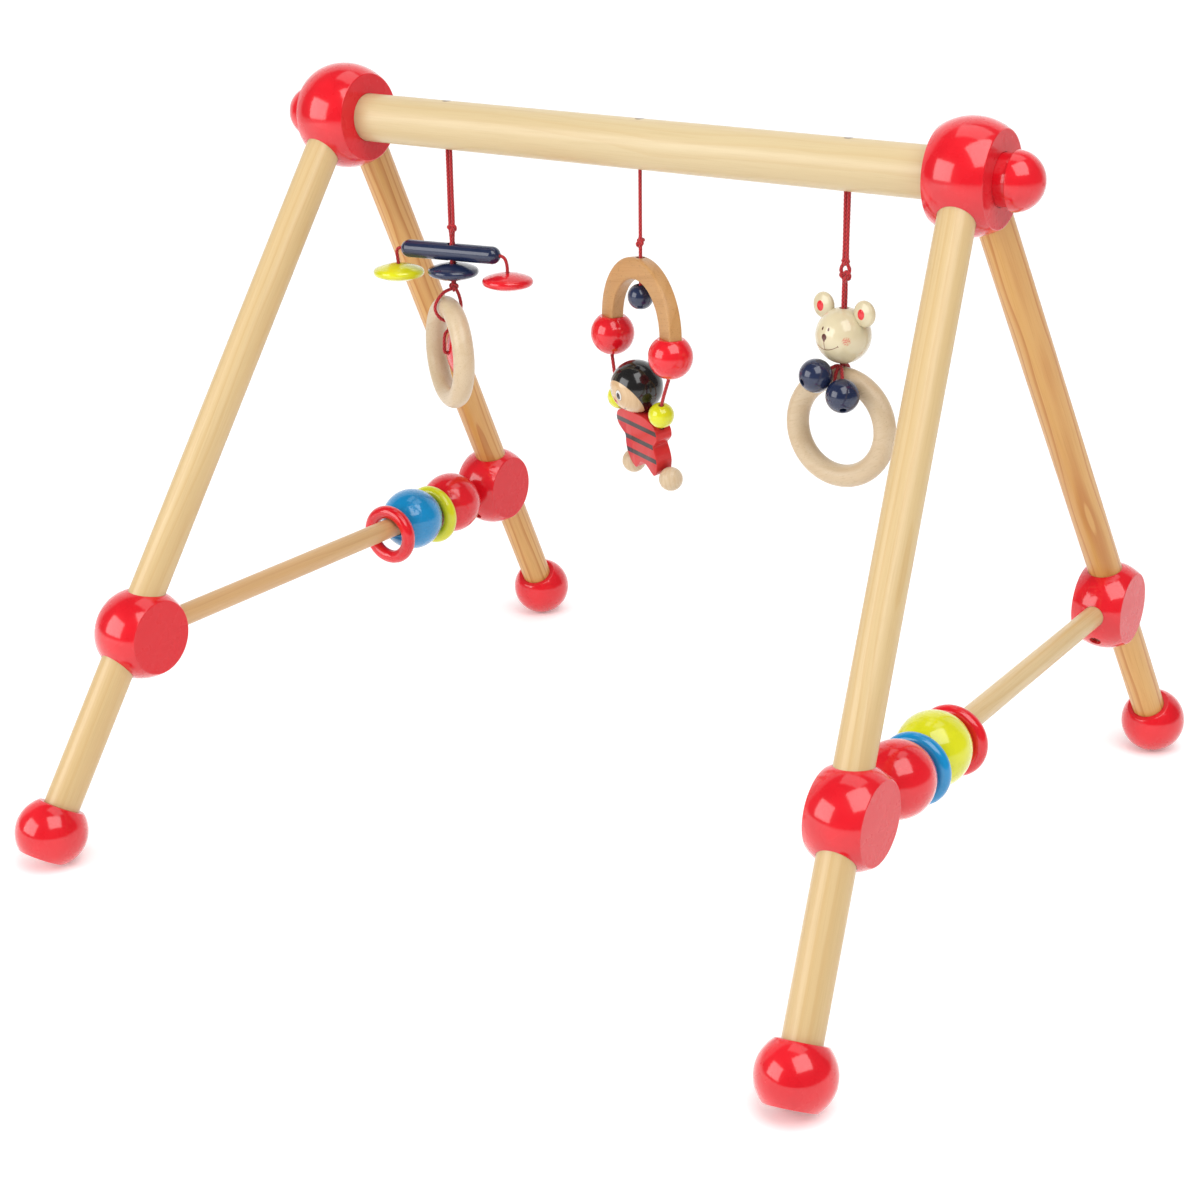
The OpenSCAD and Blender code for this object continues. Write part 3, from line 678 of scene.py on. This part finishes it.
ROD_PLACE = hang(LEFT_X, 10)
LEFT_RING_PLACE = hang(LEFT_X, -35)
ACROBAT_PLACE = hang(MIDDLE_X, -57)
ARCH_PLACE = hang(MIDDLE_X, -28)
DOLL_PLACE = ARCH_PLACE @ turned(0, (-1.2, 0, 273), DOLL_LEAN)
RIGHT_RING_PLACE = hang(RIGHT_X, -3)
BEAR_PLACE = hang(RIGHT_X, -16)
PAW_PLACE = hang(RIGHT_X, 0)


def knot(name, centre, place, radius, tall, cord_d, lean=0.0):
    """An overhand knot drawn tight: a short tube that crosses over itself in a trefoil."""
    route = []
    count = 110
    for i in range(count + 1):
        t = 2 * math.pi * i / count
        x = math.sin(t) + 2 * math.sin(2 * t)
        y = math.cos(t) - 2 * math.cos(2 * t)
        z = -math.sin(3 * t)
        route.append(Vector((x / 3, y / 3, z)))
    reach = radius - cord_d / 2
    tilt = Matrix.Rotation(math.radians(62 + lean), 4, "X")
    points = []
    for p in route:
        q = tilt @ Vector((p.x * reach, p.y * reach, p.z * reach * 0.55))
        points.append(place @ (Vector((q.x, q.y, q.z * tall)) * MM + Vector(centre) * MM))
    made = rope(name, points, cord_d * MM, BRAID, sides=12)
    return made


def hung_cord(name, node, route, place, body, knots):
    dense = smooth_route(in_place(route, place))
    length = sum((b - a).length for a, b in zip(dense, dense[1:]))
    made = rope(name, dense, CORD_D, BRAID)
    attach(made, body)
    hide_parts(node)
    for tied in knots:
        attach(tied, body)
    tuple(dense[0])
    return made


def make_cords():
    rod_knot = knot("rod_knot", (0, 0, 369), ROD_PLACE, 3.3, 1.25, 1.9)
    low_knot = knot("low_knot", (0, 0, 331.6), ROD_PLACE, 3.2, 1.1, 1.9, 20)
    hung_cord("hanging_cord", "spinner_cord", SPINNER_ROUTE, ROD_PLACE, "left_hanger",
              [rod_knot, low_knot])
    side_knots = []
    for side, x in (("left", -39.5), ("right", 38.5)):
        side_knots.append(knot(side + "_disc_knot", (x, 0, 333.5), ROD_PLACE, 2.1, 0.9, 1.3))
    hung_cord("rod_cord", "disc_cord", DISC_ROUTE, ROD_PLACE, "left_hanger", side_knots)
    hung_cord("ring_cord", "ring_loop_cord", RING_LOOP_ROUTE, LEFT_RING_PLACE, "left_hanger", [])
    loop_knot = knot("loop_knot", (0, 0, 375.5), ACROBAT_PLACE, 3.4, 1.2, 1.9)
    bead_knot = knot("bead_knot", (0, 0, 337.4), ACROBAT_PLACE, 3.2, 0.9, 1.9)
    hung_cord("arch_cord", "acrobat_cord", ACROBAT_ROUTE, ACROBAT_PLACE, "arch_hanger",
              [loop_knot, bead_knot])
    hung_cord("arm_cord", "doll_cord", ARM_ROUTE, DOLL_PLACE, "doll", [])
    top_knot = knot("bear_top_knot", (0, 0, 378.8), RIGHT_RING_PLACE, 2.6, 1.1, 1.7)
    head_knot = knot("bear_head_knot", (0, 0, 370), RIGHT_RING_PLACE, 3.7, 1.35, 2.1)
    hung_cord("bear_loop_cord", "bear_cord", BEAR_ROUTE, RIGHT_RING_PLACE, "bear_hanger",
              [top_knot, head_knot])
    hung_cord("bear_paw_cord", "paw_cord", PAW_ROUTE, PAW_PLACE, "bear_hanger", [])


make_cords()


# ---------------------------------------------------------------- frame of dowels and balls
def node_centre(name):
    low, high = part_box(name)
    return (Vector(low) + Vector(high)) / 2


def paint_node(node, material):
    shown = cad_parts[node]
    shown.data.materials.clear()
    shown.data.materials.append(material)
    for chosen in shown.material_slots:
        chosen.material = material


def along(direction, at):
    """A place whose Z runs along direction."""
    return Matrix.Translation(at) @ Vector(direction).to_track_quat("Z", "Y").to_matrix().to_4x4()


def leg_place(node):
    """A leg's own place, from the slant of its box: its Z runs from the foot up to the bar."""
    low, high = Vector(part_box(node)[0]), Vector(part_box(node)[1])
    middle = (low + high) / 2
    sx = 1 if middle.x > 0 else -1
    sy = 1 if middle.y > 0 else -1
    slope = Vector((-sx * math.tan(LEG_SPREAD), -sy * math.tan(LEG_LEAN), 1)).normalized()
    return along(slope, middle), slope


PINE = ((0.59, 0.33, 0.10), (0.43, 0.16, 0.028))
BIRCH = ((0.581, 0.427, 0.217), (0.504, 0.315, 0.119))
SPREADER_PINE = ((0.57, 0.36, 0.165), (0.47, 0.26, 0.10))
BAR_WOOD = ((0.567, 0.448, 0.252), (0.518, 0.371, 0.182))
PLUG_WOOD = ((0.27, 0.21, 0.15), (0.18, 0.13, 0.09))
BEECH = ((0.49, 0.26, 0.095), (0.39, 0.185, 0.055))
PALE_BEECH = ((0.57, 0.45, 0.30), (0.47, 0.32, 0.17))


def dress_frame():
    for node, wood, pith, spacing, contrast in (
            ("front_left_leg", BIRCH, (0.05, 0.02), 0.0042, 0.35),
            ("front_right_leg", BIRCH, (-0.045, 0.03), 0.0040, 0.35),
            ("back_left_leg", PINE, (0.018, -0.030), 0.0034, 0.85),
            ("back_right_leg", PINE, (-0.028, 0.024), 0.0032, 0.8)):
        place, slope = leg_place(node)
        paint_node(node, timber(node + "_wood", wood, place, pith, spacing, 0.010, contrast))
        foot = node.replace("leg", "foot")
        foot_place = along(slope, node_centre(foot))
        paint_node(foot, lacquer(foot + "_red", RED, foot_place, flat_axis=2))
        joint = node.replace("leg", "joint")
        paint_node(joint, lacquer(joint + "_red", RED, Matrix.Translation(node_centre(joint)), flat_axis=0))
        paint_node(node.replace("leg", "screw"), steel(node + "_screw_steel"))
    for side in ("left", "right"):
        top = side + "_top_joint"
        paint_node(top, lacquer(top + "_red", RED, Matrix.Translation(node_centre(top)), flat_axis=0))
        knob = side + "_end_knob"
        paint_node(knob, lacquer(knob + "_red", RED, Matrix.Translation(node_centre(knob)), flat_axis=0))
        paint_node(side + "_knob_bolt", steel(side + "_bolt_steel"))
        spreader = side + "_spreader"
        wood = SPREADER_PINE if side == "left" else BIRCH
        place = along((0, 1, 0), node_centre(spreader))
        paint_node(spreader, timber(spreader + "_wood", wood, place, (0.02, 0.01), 0.0045, 0.008, 0.3))
    bar_place = along((1, 0, 0), node_centre("crossbar"))
    paint_node("crossbar", timber("crossbar_wood", BAR_WOOD, bar_place, (0.06, 0.05), 0.006, 0.02, 0.35))


dress_frame()


# ---------------------------------------------------------------- beads, rings and discs
def turned_piece(name, node, outline, place, material, body, slot, segments=64):
    """A lathe-turned piece that stands for a CAD node."""
    verts, faces = lathe(outline, segments, closed=True)
    made = piece(name, verts, faces, material)
    made.matrix_world = place
    tidy_normals(made)
    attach(made, body)
    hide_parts(node)
    return made


def lens_outline(diameter, thickness, rim, bore, mouth):
    """A lens with a rounded rim and a softly rounded bore, in metres."""
    a, c = diameter / 2, thickness / 2
    face_r = (a * a - 2 * a * rim + c * c) / (2 * (c - rim))
    rim_angle = math.degrees(math.atan2(face_r - c, a - rim))
    edge = arc((a - rim, 0), rim, -rim_angle, rim_angle, 14)
    start = math.degrees(math.acos((a - rim) / (face_r - rim)))
    inner = math.degrees(math.acos((bore + mouth) / face_r))
    upper = arc((0, c - face_r), face_r, start, inner, 22)
    top = upper[-1][1]
    lip = arc((bore + mouth, top - mouth), mouth, 90, 180, 4)
    half = edge[7:] + upper[1:] + lip[1:]
    lower = [(r, -h) for r, h in half[1:]][::-1]
    return half + lower


BEAD_SIZE, BEAD_BORE, BEAD_MOUTH = 44 * MM, 7.3 * MM, 0.9 * MM
DISC_SIZE, RING_DISC_SIZE = 32.5 * MM, 30 * MM
DISC_THICKNESS, DISC_RIM, DISC_MOUTH = 11.3 * MM, 2.8 * MM, 0.4 * MM
BEADS = {
    "left_red_bead": ("ball", RED, "red_lacquer"), "left_blue_bead": ("ball", BLUE, "blue_lacquer"),
    "right_red_bead": ("ball", RED, "red_lacquer"), "right_yellow_bead": ("ball", YELLOW, "yellow_lacquer"),
    "left_yellow_ring": ("ring", YELLOW, "yellow_lacquer"), "left_red_ring": ("ring", RED, "red_lacquer"),
    "right_blue_ring": ("ring", BLUE, "blue_lacquer"), "right_red_ring": ("ring", RED, "red_lacquer")}


def worn_tone(colour):
    return tuple(c * 0.8 + 0.12 for c in colour)


def make_spreader_beads():
    for node, (shape, colour, slot) in BEADS.items():
        place = along((0, 1, 0), node_centre(node))
        if shape == "ring":
            paint_node(node, lacquer(node + "_paint", colour, place, worn=worn_tone(colour)))
            continue
        paint = lacquer(node + "_paint", colour, None, worn=worn_tone(colour))
        outline = ball_outline(BEAD_SIZE, BEAD_BORE, BEAD_MOUTH)
        turned_piece(node + "_ball", node, outline, place, paint, node, slot, 96)


def make_discs():
    for node, x, z, colour, bore, slot in (
            ("navy_disc", 0, 341.5, NAVY, 2.8, "navy_lacquer"),
            ("yellow_disc", -39.5, 338, YELLOW, 1.5, "yellow_lacquer"),
            ("red_disc", 38.5, 338, RED, 1.5, "red_lacquer")):
        place = ROD_PLACE @ Matrix.Translation(Vector((x, 0, z)) * MM)
        paint = lacquer(node + "_paint", colour, None, worn=worn_tone(colour))
        outline = lens_outline(DISC_SIZE, DISC_THICKNESS, DISC_RIM, bore * MM, DISC_MOUTH)
        turned_piece(node + "_lens", node, outline, place, paint, node, slot, 72)
    place = LEFT_RING_PLACE @ Matrix.Translation((0, 0, 288.5 * MM)) @ Matrix.Rotation(math.pi / 2, 4, "X")
    paint = lacquer("ring_disc_paint", RED, None)
    outline = lens_outline(RING_DISC_SIZE, DISC_THICKNESS, DISC_RIM, 1.5 * MM, DISC_MOUTH)
    turned_piece("ring_disc_lens", "ring_disc", outline, place, paint, "ring_disc", "red_lacquer", 72)


def make_small_balls():
    for node, place, diameter, bore, colour, slot in small_balls():
        paint = lacquer(node + "_paint", colour, None, worn=worn_tone(colour))
        outline = ball_outline(diameter * MM, bore * MM, 0.5 * MM)
        turned_piece(node + "_ball", node, outline, place, paint, node, slot, 64)


def small_balls():
    bead_at = ARCH_PLACE @ Matrix.Translation((0, 0, 342 * MM))
    yield "arch_bead", bead_at, 16, 2.8, NAVY, "navy_lacquer"
    for side, e in (("left", -1), ("right", 1)):
        tilt = Matrix.Rotation(e * math.atan2(2.6, 7.7), 4, "Y")
        place = DOLL_PLACE @ Matrix.Translation((e * 26 * MM, 0, 0)) @ tilt
        yield side + "_hand", place, 16, 1.6, YELLOW, "yellow_lacquer"
    for side, centre, ends in (("left", PAW_ROUTE[1], (PAW_ROUTE[0], PAW_ROUTE[2])),
                               ("right", PAW_ROUTE[5], (PAW_ROUTE[6], PAW_ROUTE[4]))):
        direction = Vector(ends[1]) - Vector(ends[0])
        place = PAW_PLACE @ along(direction, Vector(centre) * MM)
        yield side + "_bear_paw", place, 20, 2.0, NAVY, "navy_lacquer"


def dress_toys():
    rod_place = ROD_PLACE @ Matrix.Translation((0, 0, 354 * MM)) @ Matrix.Rotation(math.pi / 2, 4, "Y")
    paint_node("spinner_rod", lacquer("rod_paint", NAVY, rod_place, worn=worn_tone(NAVY)))
    for node in ("left_arch_ball", "right_arch_ball"):
        paint_node(node, lacquer(node + "_paint", RED, Matrix.Translation(node_centre(node))))
    for node, place, pith in (("left_grasp_ring", LEFT_RING_PLACE, (0.05, 0.03)),
                              ("right_grasp_ring", RIGHT_RING_PLACE, (0.04, -0.06))):
        spot_at = Matrix.Translation(node_centre(node))
        grain = spot_at @ place.to_3x3().to_4x4() @ Matrix.Rotation(math.radians(68), 4, "Y")
        paint_node(node, timber(node + "_wood", PALE_BEECH, grain, pith, 0.011, 0.012, 0.16, 0.22))
    for node in ("left_sole", "right_sole"):
        spot_at = Matrix.Translation(node_centre(node)) @ DOLL_PLACE.to_3x3().to_4x4()
        paint_node(node, timber(node + "_wood", PALE_BEECH, spot_at, (0.02, 0.01), 0.003, 0.006, 0.4, 0.2))
    head_place = DOLL_PLACE @ Matrix.Translation((0, 0, 13 * MM))
    paint_node("doll_head", doll_head_paint(head_place))


make_spreader_beads()
make_discs()
make_small_balls()
dress_toys()


# ---------------------------------------------------------------- arch, doll body and bear
def cut(made, tools):
    """Takes the tool pieces away from a piece, then removes them."""
    for tool in tools:
        change = made.modifiers.new("cut", "BOOLEAN")
        change.operation = "DIFFERENCE"
        change.solver = "EXACT"
        change.object = tool
    bake(made)
    for tool in tools:
        bpy.data.objects.remove(tool)


def drill(start, end, radius):
    """A round cutting tool between two points in metres, which cut() uses up."""
    start, end = Vector(start), Vector(end)
    length = (end - start).length
    verts, faces = lathe([(0, 0), (radius, 0), (radius, length), (0, length)], 40)
    tool = piece("drill", verts, faces, None)
    tool.matrix_world = along(end - start, start)
    tidy_normals(tool)
    return tool


def make_arch():
    """Half a ring sawn from a board, with rounded edges and a hole for the cord."""
    inner, outer, half, soft = 29.5 * MM, 43 * MM, 4.5 * MM, 1.4 * MM
    section = []
    for r, y, start in ((outer - soft, half - soft, 0), (inner + soft, half - soft, 90),
                        (inner + soft, -half + soft, 180), (outer - soft, -half + soft, 270)):
        for i in range(6):
            a = math.radians(start + 18 * i)
            section.append((r + soft * math.cos(a), y + soft * math.sin(a)))
    steps = 96
    verts = []
    for k in range(steps + 1):
        a = math.pi * k / steps
        for r, y in section:
            verts.append(Vector((r * math.cos(a), y, r * math.sin(a))))
    count = len(section)
    faces = []
    for k in range(steps):
        for i in range(count):
            n = (i + 1) % count
            faces.append([k * count + i, k * count + n, (k + 1) * count + n, (k + 1) * count + i])
    faces.append(list(range(count)))
    faces.append([steps * count + i for i in range(count)][::-1])
    wood_place = Matrix.Rotation(math.radians(80), 4, "Y")
    wood = timber("arch_wood", BEECH, wood_place, (0.05, 0.09), 0.009, 0.02, 0.35, 0.38)
    made = piece("arch_board", verts, faces, wood)
    tidy_normals(made)
    cut(made, [drill((0, 0, 0.02), (0, 0, 0.06), 2.8 * MM)])
    tidy_normals(made)
    made.matrix_world = ARCH_PLACE @ Matrix.Translation((0, 0, 323 * MM))
    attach(made, "arch_hanger")
    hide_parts("arch")


HALF_OUTLINE = [
    (0, -3), (11, -3), (16.5, -4.2), (22.5, -6.6), (25.4, -11), (24.8, -16), (20, -19.8), (17.2, -21.8),
    (18.8, -27), (19.2, -33), (16.2, -40), (11.6, -43.5), (9.4, -42), (4, -37.6), (0, -37)]


def rounded(outline, rounds=2):
    """Chaikin's corner cutting: each corner is replaced by two nearer points."""
    for _ in range(rounds):
        cutter = []
        for a, b in zip(outline, outline[1:] + outline[:1]):
            cutter.append((a[0] * 0.8 + b[0] * 0.2, a[1] * 0.8 + b[1] * 0.2))
            cutter.append((a[0] * 0.2 + b[0] * 0.8, a[1] * 0.2 + b[1] * 0.8))
        outline = cutter
    return outline


def make_doll_body():
    """A figure sawn from an 11 mm board, its edges broken, with holes for the arms' cord."""
    outline = HALF_OUTLINE + [(-x, z) for x, z in HALF_OUTLINE[-2:0:-1]]
    outline = rounded(outline, 3)
    half = 5.65
    verts = [Vector((x, y, z)) * MM for y in (-half, half) for x, z in outline]
    count = len(outline)
    faces = [list(range(count)), list(range(count, 2 * count))[::-1]]
    for i in range(count):
        n = (i + 1) % count
        faces.append([i, i + count, n + count, n])
    made = piece("doll_board", verts, faces, doll_body_paint())
    tidy_normals(made)
    soft = made.modifiers.new("soft", "BEVEL")
    soft.width = 0.7 * MM
    soft.segments = 3
    soft.limit_method = "ANGLE"
    soft.angle_limit = math.radians(50)
    bake(made)
    tidy_normals(made, 25)
    tools = []
    for e in (-1, 1):
        shoulder = Vector((e * 22.5, 0, -9.8)) * MM
        inside = shoulder - Vector((e * 0.7, 0, 1.5)) * MM
        outside = shoulder + Vector((e * 2.5, 0, 5.4)) * MM
        tools.append(drill(inside, outside, 2.1 * MM))
    cut(made, tools)
    tidy_normals(made, 25)
    made.matrix_world = DOLL_PLACE
    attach(made, "doll")
    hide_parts("doll_body")


EAR_SIZE, EAR_THICKNESS, EAR_RIM = 15.5 * MM, 7 * MM, 2.2 * MM
NO_BORE = 0.001 * MM


def ear_outline():
    """A lens from the axis below to the axis above."""
    lens = lens_outline(EAR_SIZE, EAR_THICKNESS, EAR_RIM, NO_BORE, NO_BORE)
    upper = sorted((p for p in lens if p[0] > 0.1 * MM and p[1] >= 0), key=lambda p: -p[0])
    lower = [(r, -h) for r, h in upper[::-1] if h > 0]
    tip = EAR_THICKNESS / 2
    return [(0.0, -tip)] + lower + upper + [(0.0, tip)]


def make_bear_head():
    """A ball with two ear discs let into it, drilled for the cord."""
    paint = bear_paint()
    verts, faces = lathe(ball_outline(2 * HEAD_RADIUS, 2.8 * MM, 0.6 * MM), 96, closed=True)
    made = piece("bear_head_ball", verts, faces, paint)
    tidy_normals(made)
    ears = []
    for e in (-1, 1):
        ear_verts, ear_faces = lathe(ear_outline(), 56)
        ear = piece("ear", ear_verts, ear_faces, paint)
        ear.matrix_world = turned(0, (e * 16.2, 0, 15.2), 90)
        tidy_normals(ear)
        ears.append(ear)
    for ear in ears:
        change = made.modifiers.new("add", "BOOLEAN")
        change.operation = "UNION"
        change.solver = "EXACT"
        change.object = ear
    bake(made)
    for ear in ears:
        bpy.data.objects.remove(ear)
    tidy_normals(made, 30)
    made.matrix_world = BEAR_PLACE @ Matrix.Translation((0, 0, 335.7 * MM))
    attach(made, "bear_head")
    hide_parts("bear_head")


def make_plugs():
    """A wooden plug over each toy's hole on top of the crossbar."""
    wood = timber("plug_wood", PLUG_WOOD, None, (0.01, 0.01), 0.003, 0.004, 0.6)
    for name, x in (("left_plug", LEFT_X), ("middle_plug", MIDDLE_X), ("right_plug", RIGHT_X)):
        dome = arc((0, -0.0226), 0.0228, 82.6, 90, 5)
        outline = [(0, -0.0045), (0.0027, -0.0045), (0.00293, -0.0041)] + dome[:-1] + [(0, 0.0002)]
        verts, faces = lathe(outline, 40)
        made = piece(name, verts, faces, wood)
        tidy_normals(made)
        made.matrix_world = Matrix.Translation((x * MM, 0, 0.4488))
        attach(made, "frame")


make_arch()
make_doll_body()
make_bear_head()
make_plugs()


# ---------------------------------------------------------------- floor and light
def make_floor():
    surface = Surface("floor")
    dust = surface.noise(3, 2.0, 0.5)
    white = surface.mix(dust.ramp(0.3, 0.7), (0.92, 0.92, 0.92), (0.94, 0.94, 0.94))
    surface.set(Base_Color=white, Roughness=0.9)
    surface.set(Emission_Color=(1.0, 1.0, 1.0), Emission_Strength=0.16, Specular_IOR_Level=0.1)
    half, deep, bend = 4.0, 2.4, 1.2
    profile = [(-half, 0.0), (deep - bend, 0.0)]
    for i in range(1, 13):
        a = math.radians(90 * i / 12)
        profile.append((deep - bend + bend * math.sin(a), bend - bend * math.cos(a)))
    profile.append((deep, 4.0))
    verts = [Vector((x, y, z)) for y, z in profile for x in (-6.0, 6.0)]
    faces = [[2 * i, 2 * i + 1, 2 * i + 3, 2 * i + 2] for i in range(len(profile) - 1)]
    made = piece("floor", verts, faces, surface.material)
    made.matrix_world = Matrix.Rotation(CAMERA_AZIMUTH, 4, "Z")


def softbox(name, at, towards, size, power):
    data = bpy.data.lights.new(name, "AREA")
    data.shape = "RECTANGLE"
    data.size, data.size_y = size
    data.energy = power
    made = bpy.data.objects.new(name, data)
    bpy.context.scene.collection.objects.link(made)
    made.visible_camera = False
    aim = (Vector(towards) - Vector(at)).to_track_quat("-Z", "Y").to_matrix().to_4x4()
    made.matrix_world = Matrix.Translation(at) @ aim


def make_light():
    world = bpy.data.worlds.new("studio")
    world.use_nodes = True
    sky = world.node_tree.nodes["Background"]
    sky.inputs["Color"].default_value = (1.0, 1.0, 1.0, 1.0)
    rays = world.node_tree.nodes.new("ShaderNodeLightPath")
    dimmer = world.node_tree.nodes.new("ShaderNodeMapRange")
    world.node_tree.links.new(rays.outputs["Is Glossy Ray"], dimmer.inputs["Value"])
    dimmer.inputs["To Min"].default_value = 0.48
    dimmer.inputs["To Max"].default_value = 0.16
    brightest = world.node_tree.nodes.new("ShaderNodeMath")
    brightest.operation = "MAXIMUM"
    world.node_tree.links.new(dimmer.outputs["Result"], brightest.inputs[0])
    world.node_tree.links.new(rays.outputs["Is Camera Ray"], brightest.inputs[1])
    world.node_tree.links.new(brightest.outputs[0], sky.inputs["Strength"])
    bpy.context.scene.world = world
    middle = (0.0, 0.0, 0.25)
    softbox("key_light", (-1.17, -1.88, 0.95), middle, (1.7, 1.4), 29)
    softbox("fill_light", (1.16, -0.75, 2.02), middle, (1.8, 1.8), 38)
    softbox("top_light", (0.0, 0.4, 2.4), middle, (1.6, 1.2), 8)


make_floor()
make_light()
bpy.context.scene.view_settings.view_transform = "Standard"
